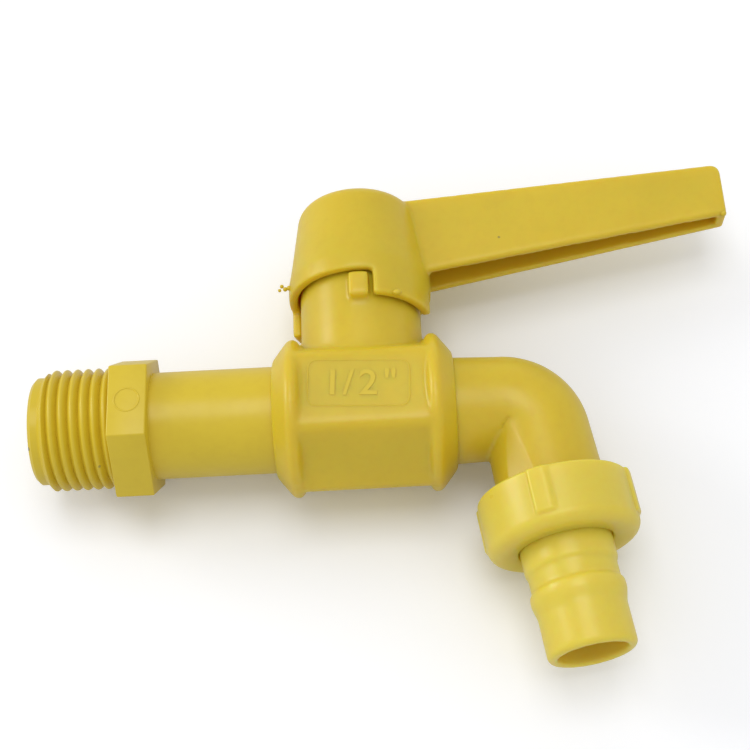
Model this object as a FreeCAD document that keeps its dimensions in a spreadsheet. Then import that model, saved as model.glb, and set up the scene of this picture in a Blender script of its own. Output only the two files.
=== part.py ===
import FreeCAD, Part
import math
import os
import Sketcher
from types import SimpleNamespace

# Plastic lever faucet for a half inch pipe, in millimetres.
# The origin is the middle of the hexagon's inlet face, where the threaded inlet ends.
# +X runs along the pipe from the inlet to the bend, +Z runs up the stem to the lever.

DRIVING_SIZES = [
    # Threaded inlet, hexagon and pipe
    ("thread_radius", 10.478),
    ("thread_length", 12.1),
    ("thread_chamfer", 0.9),
    ("thread_wall", 4.178),
    ("lead_step", 1.228),
    ("lead_length", 1.75),
    ("lead_chamfer", 0.6),
    ("hexagon_step", 0.672),
    ("hexagon_thickness", 6.5),
    ("mark_radius", 2.5),
    ("mark_line", 0.45),
    ("mark_height", 0.25),
    ("pipe_length", 20.5),
    ("pipe_wall", 2.9),
    # Valve shell, from its middle on the stem's axis
    ("shell_half_length", 15.6),
    ("cone_length", 3.0),
    ("cone_end_wall", 0.7),
    ("crest_width", 1.4),
    ("crest_rounding", 1.0),
    ("collar_height", 2.1),
    ("collar_foot", 0.9),
    ("core_wall", 1.3),
    ("waist_step", 0.4),
    ("waist_rounding", 2.4),
    ("neck_radius", 10.65),
    ("neck_wall", 1.75),
    ("neck_top", 24.0),
    ("neck_rounding", 0.6),
    ("recess_wall", 2.1),
    ("recess_depth", 9.5),
    # Travel stops on the neck
    ("stop_thickness", 1.85),
    ("stop_half_angle", 8.3),
    ("stop_height", 4.9),
    ("stop_drop", 2.0),
    ("stop_root_depth", 0.8),
    ("lever_turn", 90.0),
    # Ball, its cups and seats
    ("bore_step", 1.5),
    ("ball_wall", 3.2),
    ("ball_room", 0.35),
    ("cup_wall", 1.95),
    ("cup_floor", 3.0),
    ("seat_inset", 0.7),
    ("seat_lip", 0.2),
    ("seat_overlap", 3.1),
    ("seat_back", 1.0),
    ("seat_gap", 0.05),
    # Stem, its flange, grooves and square
    ("stem_radius", 4.2),
    ("stem_gap", 0.1),
    ("flange_step", 0.8),
    ("flange_rise", 0.7),
    ("flange_height", 1.8),
    ("tang_thickness", 3.0),
    ("tang_width", 7.0),
    ("slot_depth", 2.0),
    ("groove_depth", 1.2),
    ("groove_width", 1.7),
    ("ring_gap", 0.01),
    ("lower_ring_rise", 2.9),
    ("ring_spacing", 4.2),
    ("shaft_rise", 0.3),
    ("square_side", 5.8),
    ("square_height", 8.7),
    ("screw_radius", 1.5),
    ("screw_depth", 9.0),
    # Handle: skirted hub and channel lever in one moulding
    ("skirt_depth", 4.9),
    ("skirt_gap", 0.3),
    ("skirt_angle_gap", 4.0),
    ("skirt_play", 0.45),
    ("hub_wall", 1.6),
    ("band_height", 7.8),
    ("band_rounding", 1.5),
    ("flare_step", 0.6),
    ("flare_height", 3.6),
    ("flare_rounding", 8.0),
    ("shoulder_step", 1.65),
    ("hub_rounding", 3.0),
    ("roof_thickness", 2.0),
    ("boss_wall", 3.3),
    ("boss_gap", 0.6),
    ("socket_gap", 0.05),
    ("web_gap", 0.3),
    ("web_thickness", 3.4),
    ("screw_clearance", 0.35),
    ("counterbore_depth", 4.2),
    ("counterbore_gap", 0.6),
    ("lever_reach", 67.2),
    ("lever_root_half_width", 4.85),
    ("lever_tip_half_width", 2.85),
    ("lever_root_drop", 1.1),
    ("lever_root_depth", 16.4),
    ("lever_tip_rise", 5.3),
    ("lever_tip_depth", 10.6),
    ("lever_wall", 1.5),
    ("lever_end_wall", 1.7),
    ("lever_end_rounding", 1.6),
    ("lever_edge_rounding", 0.7),
    # Screw that holds the handle down
    ("head_overhang", 2.1),
    ("head_height", 2.4),
    ("head_rounding", 1.2),
    ("cross_width", 0.9),
    ("cross_span", 3.6),
    ("cross_depth", 1.5),
    # Outlet bend and leg, placed along the leaning outlet axis
    ("outlet_reach", 28.6),
    ("outlet_lean", 8.0),
    ("bend_radius", 6.0),
    ("elbow_step", 0.25),
    ("leg_step", 0.2),
    ("outlet_thread_start", 15.3),
    ("outlet_thread_chamfer", 0.7),
    # Union nut, washer and hose nozzle
    ("nut_rise", 0.6),
    ("nut_length", 10.1),
    ("nut_wall", 2.272),
    ("nut_lip", 2.1),
    ("nut_thread_gap", 0.15),
    ("nut_rounding", 2.0),
    ("nut_top_rounding", 0.4),
    ("rib_height", 0.45),
    ("rib_width", 3.8),
    ("rib_stop", 2.2),
    ("rib_turn", 16.3),
    ("washer_thickness", 1.2),
    ("washer_step", 0.3),
    ("nozzle_flange_thickness", 1.6),
    ("nozzle_flange_gap", 0.728),
    ("nozzle_gap", 0.2),
    ("nozzle_step", 0.5),
    ("nozzle_wall", 2.0),
    ("nozzle_root_length", 3.6),
    ("nozzle_groove_depth", 0.35),
    ("nozzle_groove_length", 3.7),
    ("barb_height", 0.5),
    ("barb_crest_length", 1.6),
    ("barb_drop", 0.55),
    ("barb_slope_length", 2.1),
    ("barb_rounding", 0.25),
    ("barb_blend", 3.0),
    ("tail_length", 7.4),
    ("tail_end_flat", 0.2),
    ("tail_inner_rounding", 0.4),
]

RIB_COUNT = 4
TOUCH = 0.01


class Size:
    """A size with its value and the sheet expression that gives it."""

    def __init__(self, value, text):
        self.value = value
        self.text = text

    def __add__(self, other):
        other = as_size(other)
        return Size(self.value + other.value, f"({self.text} + {other.text})")

    def __sub__(self, other):
        other = as_size(other)
        return Size(self.value - other.value, f"({self.text} - {other.text})")

    def __mul__(self, other):
        other = as_size(other)
        return Size(self.value * other.value, f"({self.text} * {other.text})")

    def __truediv__(self, other):
        other = as_size(other)
        return Size(self.value / other.value, f"({self.text} / {other.text})")

    def __radd__(self, other):
        return as_size(other) + self

    def __rsub__(self, other):
        return as_size(other) - self

    def __rmul__(self, other):
        return as_size(other) * self

    def __neg__(self):
        return Size(-self.value, f"(0 - {self.text})")


def as_size(value):
    return value if isinstance(value, Size) else Size(float(value), f"{float(value)}")


def sine(angle):
    return Size(math.sin(math.radians(angle.value)), f"sin({angle.text})")


def cosine(angle):
    return Size(math.cos(math.radians(angle.value)), f"cos({angle.text})")


def tangent(angle):
    return Size(math.tan(math.radians(angle.value)), f"tan({angle.text})")


def root(size):
    return Size(math.sqrt(size.value), f"sqrt({size.text})")


def make_sheet(document):
    """The spreadsheet of driving sizes, and each size by its alias."""
    sheet = document.addObject("Spreadsheet::Sheet", "Sizes")
    for row, (alias, value) in enumerate(DRIVING_SIZES, start=1):
        sheet.set(f"A{row}", alias)
        sheet.set(f"B{row}", str(value))
        sheet.setAlias(f"B{row}", alias)
    document.recompute()
    return SimpleNamespace(**{alias: Size(float(sheet.get(alias)), f"Sizes.{alias}")
                              for alias, _ in DRIVING_SIZES})


doc = FreeCAD.newDocument("faucet")
s = make_sheet(doc)

# Sizes that follow from the driving ones, first along the pipe
lead_radius = s.thread_radius - s.lead_step
inlet_reach = s.thread_length + s.lead_length
hexagon_flats = 2 * (s.thread_radius + s.hexagon_step)
bore_radius = s.thread_radius - s.thread_wall
pipe_radius = bore_radius + s.pipe_wall
stem_place = s.hexagon_thickness + s.pipe_length + s.shell_half_length
outlet_place = stem_place + s.outlet_reach

# Ball, seats and the cups round them
ball_bore = bore_radius - s.bore_step
ball_radius = ball_bore + s.ball_wall
seat_radius = ball_radius - s.seat_inset
seat_bore = ball_bore + s.seat_lip
seat_near = ball_radius - s.seat_overlap
seat_far = ball_radius + s.seat_back
cup_radius = ball_radius + s.ball_room + s.cup_wall
cup_reach = seat_far + s.cup_floor

# Shell, from its middle outwards
core_radius = cup_radius + s.core_wall
waist_flats = 2 * (core_radius + s.waist_step)
collar_radius = core_radius + s.collar_height
crest_outer = s.shell_half_length - s.cone_length
crest_inner = crest_outer - s.crest_width
collar_root = crest_inner - s.collar_foot
cone_end_radius = pipe_radius + s.cone_end_wall
stop_radius = s.neck_radius + s.stop_thickness
stop_top = s.neck_top - s.stop_drop
stop_low = stop_top - s.stop_height

# Stem, from the ball's slot upwards
slot_floor = ball_radius - s.slot_depth
stem_bore = s.stem_radius + s.stem_gap
recess_inner = stem_bore + s.recess_wall
recess_outer = s.neck_radius - s.neck_wall
groove_radius = s.stem_radius - s.groove_depth
flange_radius = s.stem_radius + s.flange_step
flange_room = flange_radius + s.stem_gap
flange_low = ball_radius + s.flange_rise
flange_top = flange_low + s.flange_height
lower_ring_place = flange_top + s.lower_ring_rise
upper_ring_place = lower_ring_place + s.ring_spacing
shaft_top = s.neck_top + s.shaft_rise
stem_top = shaft_top + s.square_height

# Handle, from the skirt upwards
skirt_inner = s.neck_radius + s.skirt_play
skirt_radius = skirt_inner + s.hub_wall
skirt_step = stop_top + s.skirt_gap
skirt_low = skirt_step - s.skirt_depth
skirt_gap_half_angle = s.lever_turn / 2 + s.stop_half_angle + s.skirt_angle_gap
band_top = skirt_low + s.band_height
flare_radius = skirt_radius - s.flare_step
flare_top = band_top + s.flare_height
shoulder_radius = flare_radius - s.shoulder_step
boss_radius = s.square_side / 2 + s.boss_wall
boss_low = s.neck_top + s.boss_gap
socket_top = stem_top + s.web_gap
counterbore_floor = socket_top + s.web_thickness
hub_top = counterbore_floor + s.counterbore_depth
roof_low = hub_top - s.roof_thickness
roof_radius = shoulder_radius - s.hub_wall - s.hub_rounding / 2
head_radius = s.screw_radius + s.head_overhang
counterbore_radius = head_radius + s.counterbore_gap
lever_root_top = hub_top - s.lever_root_drop
lever_root_low = lever_root_top - s.lever_root_depth
lever_tip_top = hub_top + s.lever_tip_rise
lever_tip_low = lever_tip_top - s.lever_tip_depth

# Outlet, along its leaning axis from where it crosses the pipe's
bend_turn = 90 - s.outlet_lean
bend_tangent = s.bend_radius * tangent(bend_turn / 2)
bend_start = outlet_place - bend_tangent
elbow_radius = pipe_radius - s.elbow_step
leg_radius = elbow_radius + s.leg_step
nut_top = s.outlet_thread_start + s.nut_rise
nut_end = nut_top + s.nut_length
lip_top = nut_end - s.nut_lip
nozzle_flange_top = lip_top - s.nozzle_flange_thickness
outlet_end = nozzle_flange_top - s.washer_thickness
nut_bore = s.thread_radius + s.nut_thread_gap
nut_radius = nut_bore + s.nut_wall
nozzle_flange_radius = nut_bore - s.nozzle_flange_gap
washer_radius = nozzle_flange_radius - s.washer_step
nozzle_bore = bore_radius - s.nozzle_step
nozzle_root_radius = nozzle_bore + s.nozzle_wall
nozzle_groove_radius = nozzle_root_radius - s.nozzle_groove_depth
lip_bore = nozzle_root_radius + s.nozzle_gap
barb_radius = nozzle_groove_radius + s.barb_height
tail_radius = barb_radius - s.barb_drop
nozzle_root_end = nut_end + s.nozzle_root_length
barb_start = nozzle_root_end + s.nozzle_groove_length
barb_crest_end = barb_start + s.barb_crest_length
barb_end = barb_crest_end + s.barb_slope_length
nozzle_end = barb_end + s.tail_length
tail_rounding = tail_radius - nozzle_bore - s.tail_inner_rounding - s.tail_end_flat


# Building blocks shared by the pieces

def new_body(name, place=None, lean=None):
    """An empty body, moved along X to its place and leaned in the XZ plane."""
    body = doc.addObject("PartDesign::Body", name)
    body.Label = name
    if place is not None:
        angle = lean.value if lean is not None else 0
        rotation = FreeCAD.Rotation(FreeCAD.Vector(0, -1, 0), angle)
        body.Placement = FreeCAD.Placement(FreeCAD.Vector(place.value, 0, 0), rotation)
        body.setExpression("Placement.Base.x", place.text)
    if lean is not None:
        body.setExpression("Placement.Rotation.Angle", lean.text)
    return body


def new_sketch(body, plane, name, shift=(0, 0, 0), turn=None):
    """A sketch on one of the body's own origin planes, shifted and turned in it."""
    sketch = body.newObject("Sketcher::SketchObject", name)
    support = [item for item in body.Origin.OriginFeatures if item.Role == plane]
    sketch.AttachmentSupport = [(support[0], "")]
    sketch.MapMode = "FlatFace"
    offsets = [as_size(value) for value in shift]
    angle = turn.value if turn is not None else 0
    rotation = FreeCAD.Rotation(FreeCAD.Vector(0, 0, 1), angle)
    base = FreeCAD.Vector(*[offset.value for offset in offsets])
    sketch.AttachmentOffset = FreeCAD.Placement(base, rotation)
    for direction, offset in zip("xyz", offsets):
        sketch.setExpression(f"AttachmentOffset.Base.{direction}", offset.text)
    if turn is not None:
        sketch.setExpression("AttachmentOffset.Rotation.Angle", turn.text)
    return sketch


def hold(sketch, kind, geometry, vertex, size):
    """Hold a vertex at its distance from the sketch's origin along one direction."""
    if not isinstance(size, Size):
        axis = -2 if kind == "DistanceX" else -1
        sketch.addConstraint(Sketcher.Constraint("PointOnObject", geometry, vertex, axis))
        return
    constraint = Sketcher.Constraint(kind, -1, 1, geometry, vertex, size.value)
    index = sketch.addConstraint(constraint)
    sketch.setExpression(f"Constraints[{index}]", size.text)


def corner_arc(before, corner, after, radius):
    """The two ends and the middle of the arc that rounds a corner."""
    to_before = (before - corner).normalize()
    to_after = (after - corner).normalize()
    half_angle = to_before.getAngle(to_after) / 2
    trim = radius / math.tan(half_angle)
    to_middle = (to_before + to_after).normalize()
    middle = corner + to_middle * (radius / math.sin(half_angle))
    return corner + to_before * trim, corner + to_after * trim, middle


def add_arc(sketch, start, end, middle, radius, turns_left):
    """An arc from start to end, and the numbers of its vertices in that order."""
    if not turns_left:
        start, end = end, start
    first = math.atan2(start.y - middle.y, start.x - middle.x)
    last = math.atan2(end.y - middle.y, end.x - middle.x)
    if last < first:
        last += 2 * math.pi
    circle = Part.Circle(middle, FreeCAD.Vector(0, 0, 1), radius)
    arc = sketch.addGeometry(Part.ArcOfCircle(circle, first, last), False)
    return (arc, 1, 2) if turns_left else (arc, 2, 1)


def add_outline(sketch, corners):
    """A closed outline through corners, each two sizes and, where it is rounded, a radius."""
    lines = sketch.GeometryCount
    count = len(corners)
    points = [FreeCAD.Vector(as_size(corner[0]).value, as_size(corner[1]).value, 0)
              for corner in corners]
    starts = list(points)
    ends = list(points)
    middles = [None] * count
    for index, corner in enumerate(corners):
        if len(corner) == 3:
            arc = corner_arc(points[index - 1], points[index], points[(index + 1) % count],
                             corner[2].value)
            ends[index], starts[index], middles[index] = arc
    for index in range(count):
        edge = Part.LineSegment(starts[index], ends[(index + 1) % count])
        sketch.addGeometry(edge, False)
    for index, corner in enumerate(corners):
        line = lines + index
        line_before = lines + (index - 1) % count
        if len(corner) == 2:
            sketch.addConstraint(Sketcher.Constraint("Coincident", line_before, 2, line, 1))
            hold(sketch, "DistanceX", line, 1, corner[0])
            hold(sketch, "DistanceY", line, 1, corner[1])
            continue
        along = points[index] - points[index - 1]
        away = points[(index + 1) % count] - points[index]
        arc, arc_in, arc_out = add_arc(sketch, ends[index], starts[index], middles[index],
                                       corner[2].value, along.cross(away).z > 0)
        sketch.addConstraint(Sketcher.Constraint("Tangent", line_before, 2, arc, arc_in))
        sketch.addConstraint(Sketcher.Constraint("Tangent", arc, arc_out, line, 1))
        number = sketch.addConstraint(Sketcher.Constraint("Radius", arc, corner[2].value))
        sketch.setExpression(f"Constraints[{number}]", corner[2].text)
        point = sketch.addGeometry(Part.Point(points[index]), True)
        hold(sketch, "DistanceX", point, 1, corner[0])
        hold(sketch, "DistanceY", point, 1, corner[1])
        sketch.addConstraint(Sketcher.Constraint("PointOnObject", point, 1, line_before))
        sketch.addConstraint(Sketcher.Constraint("PointOnObject", point, 1, line))


def add_circle(sketch, radius, across=0, up=0):
    """A circle of a bound radius about a point."""
    centre = FreeCAD.Vector(as_size(across).value, as_size(up).value, 0)
    circle = Part.Circle(centre, FreeCAD.Vector(0, 0, 1), radius.value)
    geometry = sketch.addGeometry(circle, False)
    hold(sketch, "DistanceX", geometry, 3, across)
    hold(sketch, "DistanceY", geometry, 3, up)
    index = sketch.addConstraint(Sketcher.Constraint("Radius", geometry, radius.value))
    sketch.setExpression(f"Constraints[{index}]", radius.text)


def revolve(body, sketch, axis, angle=360, cut=False):
    """Turn a profile about one of its sketch's axes, to add or to cut."""
    kind = "PartDesign::Groove" if cut else "PartDesign::Revolution"
    feature = body.newObject(kind, sketch.Name + "_turned")
    feature.Profile = sketch
    feature.ReferenceAxis = (sketch, [axis])
    turn = as_size(angle)
    feature.Angle = turn.value
    feature.setExpression("Angle", turn.text)
    doc.recompute()
    return feature


def pad(body, sketch, length, symmetric=False, cut=False, backwards=False):
    """Push a profile along its sketch's normal, to add or to cut."""
    kind = "PartDesign::Pocket" if cut else "PartDesign::Pad"
    feature = body.newObject(kind, sketch.Name + "_pushed")
    feature.Profile = sketch
    feature.setExpression("Length", length.text)
    feature.SideType = "Symmetric" if symmetric else "One side"
    feature.Reversed = backwards
    doc.recompute()
    return feature


def cut_ball(body, place, radius):
    """Cut a ball's room out of a body, its middle on the pipe's axis."""
    sphere = body.newObject("PartDesign::SubtractiveSphere", "ball_room_cut")
    sphere.setExpression("Radius", radius.text)
    sphere.setExpression("Placement.Base.x", as_size(place).text)
    doc.recompute()
    return sphere


def matching_edges(feature, test):
    names = [f"Edge{number}" for number, edge in enumerate(feature.Shape.Edges, start=1)
             if test(edge)]
    if not names:
        raise ValueError(f"no edge to round on {feature.Name}")
    return names


def round_edges(body, feature, radius, test):
    """Round the edges of a feature that pass a test."""
    fillet = body.newObject("PartDesign::Fillet", feature.Name + "_rounded")
    fillet.Base = (feature, matching_edges(feature, test))
    fillet.setExpression("Radius", radius.text)
    doc.recompute()
    return fillet


def hexagon(flats, *rounding):
    """The corners of a hexagon that stands on a corner, from its size across flats."""
    half = flats / 2
    side = flats / root(as_size(3))
    corners = [(0, side), (-half, side / 2), (-half, -side / 2),
               (0, -side), (half, -side / 2), (half, side / 2)]
    return [corner + rounding for corner in corners]


def cut_ball_cup(body, side):
    """The half of the ball's chamber, the seat's pocket and the stem's notch in a pipe end."""
    cut_ball(body, stem_place, ball_radius + s.ball_room)
    pocket = new_sketch(body, "XZ_Plane", "seat_pocket", shift=(stem_place, 0, 0))
    add_outline(pocket, [(0, 0), (side * seat_far, 0), (side * seat_far, seat_radius),
                         (0, seat_radius)])
    revolve(body, pocket, "H_Axis", cut=True)
    notch = new_sketch(body, "XY_Plane", "stem_notch", shift=(stem_place, 0, 0))
    add_circle(notch, flange_room)
    pad(body, notch, cup_radius + s.stem_gap, cut=True, backwards=True)


# Inlet moulding: lead, thread, hexagon, pipe and its half of the ball's cup

def make_inlet_tail():
    body = new_body("inlet_tail")
    profile = new_sketch(body, "XZ_Plane", "inlet_profile")
    cup_start = stem_place - cup_reach
    add_outline(profile, [
        (-inlet_reach, 0),
        (-inlet_reach, lead_radius - s.lead_chamfer),
        (s.lead_chamfer - inlet_reach, lead_radius),
        (-s.thread_length, lead_radius),
        (s.thread_chamfer - s.thread_length, s.thread_radius),
        (0, s.thread_radius),
        (0, pipe_radius),
        (cup_start, pipe_radius),
        (cup_start, cup_radius),
        (stem_place, cup_radius),
        (stem_place, 0),
    ])
    revolve(body, profile, "H_Axis")
    flats = new_sketch(body, "YZ_Plane", "hexagon")
    add_outline(flats, hexagon(hexagon_flats))
    pad(body, flats, s.hexagon_thickness)
    mark = new_sketch(body, "XZ_Plane", "round_mark",
                      shift=(s.hexagon_thickness / 2, 0, hexagon_flats / 2))
    add_circle(mark, s.mark_radius)
    add_circle(mark, s.mark_radius - s.mark_line)
    pad(body, mark, s.mark_height)
    bore = new_sketch(body, "XZ_Plane", "inlet_bore")
    add_outline(bore, [(-inlet_reach, 0), (-inlet_reach, bore_radius),
                       (stem_place, bore_radius), (stem_place, 0)])
    revolve(body, bore, "H_Axis", cut=True)
    cut_ball_cup(body, -1)
    return body


# Outlet moulding: the other half of the cup, pipe, bend and the leg with its thread

def bend_section(body, radius, name):
    """A pipe's section at the bend: all of it, or the part outside the bend's own axis."""
    sketch = new_sketch(body, "YZ_Plane", name, shift=(0, -s.bend_radius, bend_start))
    if radius.value < s.bend_radius.value:
        add_circle(sketch, radius, up=s.bend_radius)
        return sketch
    half = root(radius * radius - s.bend_radius * s.bend_radius)
    dip = math.asin(s.bend_radius.value / radius.value)
    circle = Part.Circle(FreeCAD.Vector(0, s.bend_radius.value, 0),
                         FreeCAD.Vector(0, 0, 1), radius.value)
    sketch.addGeometry(Part.ArcOfCircle(circle, -dip, math.pi + dip), False)
    right = FreeCAD.Vector(half.value, 0, 0)
    left = FreeCAD.Vector(-half.value, 0, 0)
    sketch.addGeometry(Part.LineSegment(left, right), False)
    sketch.addConstraint(Sketcher.Constraint("Coincident", 0, 2, 1, 1))
    sketch.addConstraint(Sketcher.Constraint("Coincident", 1, 2, 0, 1))
    hold(sketch, "DistanceX", 0, 3, 0)
    hold(sketch, "DistanceY", 0, 3, s.bend_radius)
    hold(sketch, "DistanceX", 1, 2, half)
    hold(sketch, "DistanceY", 1, 2, 0)
    hold(sketch, "DistanceY", 1, 1, 0)
    return sketch


def leg_sketch(body, name):
    """A sketch whose upright axis is the leaning outlet axis."""
    return new_sketch(body, "XZ_Plane", name, shift=(outlet_place, 0, 0), turn=s.outlet_lean)


def make_outlet_elbow():
    body = new_body("outlet_elbow")
    profile = new_sketch(body, "XZ_Plane", "outlet_profile")
    cup_end = stem_place + cup_reach
    add_outline(profile, [
        (stem_place, 0), (stem_place, cup_radius), (cup_end, cup_radius),
        (cup_end, pipe_radius), (stem_place + s.shell_half_length, pipe_radius),
        (bend_start, elbow_radius), (bend_start, 0),
    ])
    revolve(body, profile, "H_Axis")
    revolve(body, bend_section(body, elbow_radius, "bend_outside"), "H_Axis", bend_turn)
    leg = leg_sketch(body, "leg_profile")
    add_outline(leg, [
        (0, -bend_tangent), (elbow_radius, -bend_tangent),
        (leg_radius, -s.outlet_thread_start),
        (s.thread_radius, leg_radius - s.thread_radius - s.outlet_thread_start),
        (s.thread_radius, s.outlet_thread_chamfer - outlet_end),
        (s.thread_radius - s.outlet_thread_chamfer, -outlet_end), (0, -outlet_end),
    ])
    revolve(body, leg, "V_Axis")
    bore = new_sketch(body, "XZ_Plane", "outlet_bore")
    add_outline(bore, [(stem_place, 0), (stem_place, bore_radius),
                       (bend_start, bore_radius), (bend_start, 0)])
    revolve(body, bore, "H_Axis", cut=True)
    revolve(body, bend_section(body, bore_radius, "bend_inside"), "H_Axis", bend_turn, cut=True)
    drop = leg_sketch(body, "leg_bore")
    add_outline(drop, [(0, -bend_tangent), (bore_radius, -bend_tangent),
                       (bore_radius, -outlet_end), (0, -outlet_end)])
    revolve(body, drop, "V_Axis", cut=True)
    cut_ball_cup(body, 1)
    return body


# Valve shell: hexagonal waist between two collars, and the neck with its travel stops

def stop_outline(side):
    """One travel stop, seen from above, from inside the neck's wall to its outer face."""
    inner = s.neck_radius - s.stop_root_depth
    across = sine(s.stop_half_angle)
    along = cosine(s.stop_half_angle)
    return [(-inner * across, side * inner * along), (inner * across, side * inner * along),
            (stop_radius * across, side * stop_radius * along),
            (-stop_radius * across, side * stop_radius * along)]


def make_valve_shell():
    body = new_body("valve_shell", place=stem_place)
    waist = new_sketch(body, "YZ_Plane", "waist")
    add_outline(waist, hexagon(waist_flats, s.waist_rounding))
    pad(body, waist, crest_inner + crest_outer, symmetric=True)
    collars = new_sketch(body, "XZ_Plane", "collars")
    right = [
        (collar_root, core_radius), (crest_inner, collar_radius, s.crest_rounding),
        (crest_outer, collar_radius, s.crest_rounding), (s.shell_half_length, cone_end_radius),
        (s.shell_half_length, 0),
    ]
    left = [(-corner[0],) + corner[1:] for corner in reversed(right)]
    add_outline(collars, left + right)
    revolve(body, collars, "H_Axis")
    neck = new_sketch(body, "XZ_Plane", "neck")
    add_outline(neck, [(0, 0), (s.neck_radius, 0), (s.neck_radius, s.neck_top, s.neck_rounding),
                       (0, s.neck_top)])
    revolve(body, neck, "V_Axis")
    stops = new_sketch(body, "XY_Plane", "travel_stops", shift=(0, 0, stop_low))
    for side in (-1, 1):
        add_outline(stops, stop_outline(side))
    pad(body, stops, s.stop_height)
    room = new_sketch(body, "XZ_Plane", "pipe_room")
    add_outline(room, [
        (-s.shell_half_length, 0), (-s.shell_half_length, pipe_radius), (-cup_reach, pipe_radius),
        (-cup_reach, cup_radius), (cup_reach, cup_radius),
        (cup_reach, pipe_radius), (s.shell_half_length, pipe_radius), (s.shell_half_length, 0),
    ])
    revolve(body, room, "H_Axis", cut=True)
    bore = new_sketch(body, "XZ_Plane", "stem_bore")
    add_outline(bore, [(0, 0), (flange_room, 0), (flange_room, flange_top + s.stem_gap),
                       (stem_bore, flange_top + s.stem_gap), (stem_bore, s.neck_top),
                       (0, s.neck_top)])
    revolve(body, bore, "V_Axis", cut=True)
    recess = new_sketch(body, "XZ_Plane", "neck_recess")
    recess_floor = s.neck_top - s.recess_depth
    add_outline(recess, [(recess_inner, recess_floor), (recess_outer, recess_floor),
                         (recess_outer, s.neck_top), (recess_inner, s.neck_top)])
    revolve(body, recess, "V_Axis", cut=True)
    return body


# Bored ball with the stem's slot across its top

def make_ball():
    body = new_body("ball", place=stem_place)
    sphere = body.newObject("PartDesign::AdditiveSphere", "ball_form")
    sphere.setExpression("Radius", ball_radius.text)
    doc.recompute()
    bore = new_sketch(body, "YZ_Plane", "ball_bore")
    add_circle(bore, ball_bore)
    pad(body, bore, 2 * ball_radius, symmetric=True, cut=True)
    slot = new_sketch(body, "XZ_Plane", "stem_slot")
    half = s.tang_thickness / 2 + s.stem_gap
    add_outline(slot, [(-half, slot_floor), (half, slot_floor),
                       (half, ball_radius + s.stem_gap), (-half, ball_radius + s.stem_gap)])
    pad(body, slot, 2 * ball_radius, symmetric=True, cut=True)
    return body


# Soft seat rings, one each side of the ball

def make_seat(name, side):
    body = new_body(name, place=stem_place)
    profile = new_sketch(body, "XZ_Plane", "seat_profile")
    add_outline(profile, [
        (side * seat_near, seat_bore), (side * seat_far, seat_bore),
        (side * seat_far, seat_radius), (side * seat_near, seat_radius),
    ])
    revolve(body, profile, "H_Axis")
    cut_ball(body, 0, ball_radius + s.seat_gap)
    return body


# Stem from the ball's slot to the handle's square socket

def make_stem():
    body = new_body("stem", place=stem_place)
    profile = new_sketch(body, "XZ_Plane", "stem_profile")
    corners = [(0, flange_low), (flange_radius, flange_low),
               (flange_radius, flange_top), (s.stem_radius, flange_top)]
    for place in (lower_ring_place, upper_ring_place):
        low = place - s.groove_width / 2
        high = place + s.groove_width / 2
        corners += [(s.stem_radius, low), (groove_radius, low),
                    (groove_radius, high), (s.stem_radius, high)]
    corners += [(s.stem_radius, shaft_top), (0, shaft_top)]
    add_outline(profile, corners)
    revolve(body, profile, "V_Axis")
    square = new_sketch(body, "XY_Plane", "drive_square", shift=(0, 0, shaft_top))
    half = s.square_side / 2
    add_outline(square, [(-half, -half), (half, -half), (half, half), (-half, half)])
    pad(body, square, stem_top - shaft_top)
    tang_low = slot_floor + s.stem_gap
    tang = new_sketch(body, "XY_Plane", "tang", shift=(0, 0, tang_low))
    thick = s.tang_thickness / 2
    wide = s.tang_width / 2
    add_outline(tang, [(-thick, -wide), (thick, -wide), (thick, wide), (-thick, wide)])
    pad(body, tang, flange_low - tang_low)
    hole = new_sketch(body, "XY_Plane", "screw_hole", shift=(0, 0, stem_top))
    add_circle(hole, s.screw_radius)
    pad(body, hole, s.screw_depth, cut=True)
    return body


# Stem seals in their grooves

def make_o_ring(name, place):
    body = new_body(name, place=stem_place)
    ring = body.newObject("PartDesign::AdditiveTorus", "ring_form")
    section = (stem_bore - groove_radius) / 2
    ring.setExpression("Radius1", (groove_radius + section).text)
    ring.setExpression("Radius2", (section - s.ring_gap).text)
    ring.setExpression("Placement.Base.z", place.text)
    doc.recompute()
    return body


# Handle: hub with a stepped skirt, and a lever that is a channel open underneath

def lever_section(body, name, place, half_width, low, top):
    sketch = new_sketch(body, "YZ_Plane", name, shift=(0, 0, place))
    add_outline(sketch, [(-half_width, low), (half_width, low),
                         (half_width, top), (-half_width, top)])
    return sketch


def loft(body, first, last, cut=False):
    kind = "PartDesign::SubtractiveLoft" if cut else "PartDesign::AdditiveLoft"
    feature = body.newObject(kind, first.Name + "_lofted")
    feature.Profile = first
    feature.Sections = [last]
    feature.Ruled = True
    doc.recompute()
    return feature


def between(start, end, place):
    """A lever size at a place between its root on the stem's axis and its tip."""
    return start + (end - start) * place / s.lever_reach


def is_tip_upper_edge(edge):
    box = edge.BoundBox
    return box.XMin > s.lever_reach.value - TOUCH and box.ZMin > lever_tip_top.value - TOUCH


def is_long_upper_edge(edge):
    box = edge.BoundBox
    return box.XLength > s.lever_reach.value / 2 and box.ZMin > lever_root_low.value + TOUCH


def cut_skirt_gap(body, stop_angle, name):
    """Cut the skirt short where it passes a travel stop while the lever turns."""
    middle = stop_angle - s.lever_turn / 2
    reach = 2 * skirt_radius
    gap = new_sketch(body, "XY_Plane", name, shift=(0, 0, skirt_low))
    corners = [(0, 0)]
    for angle in (middle - skirt_gap_half_angle, middle, middle + skirt_gap_half_angle):
        corners.append((reach * cosine(angle), reach * sine(angle)))
    add_outline(gap, corners)
    pad(body, gap, skirt_step - skirt_low, cut=True, backwards=True)


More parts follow.
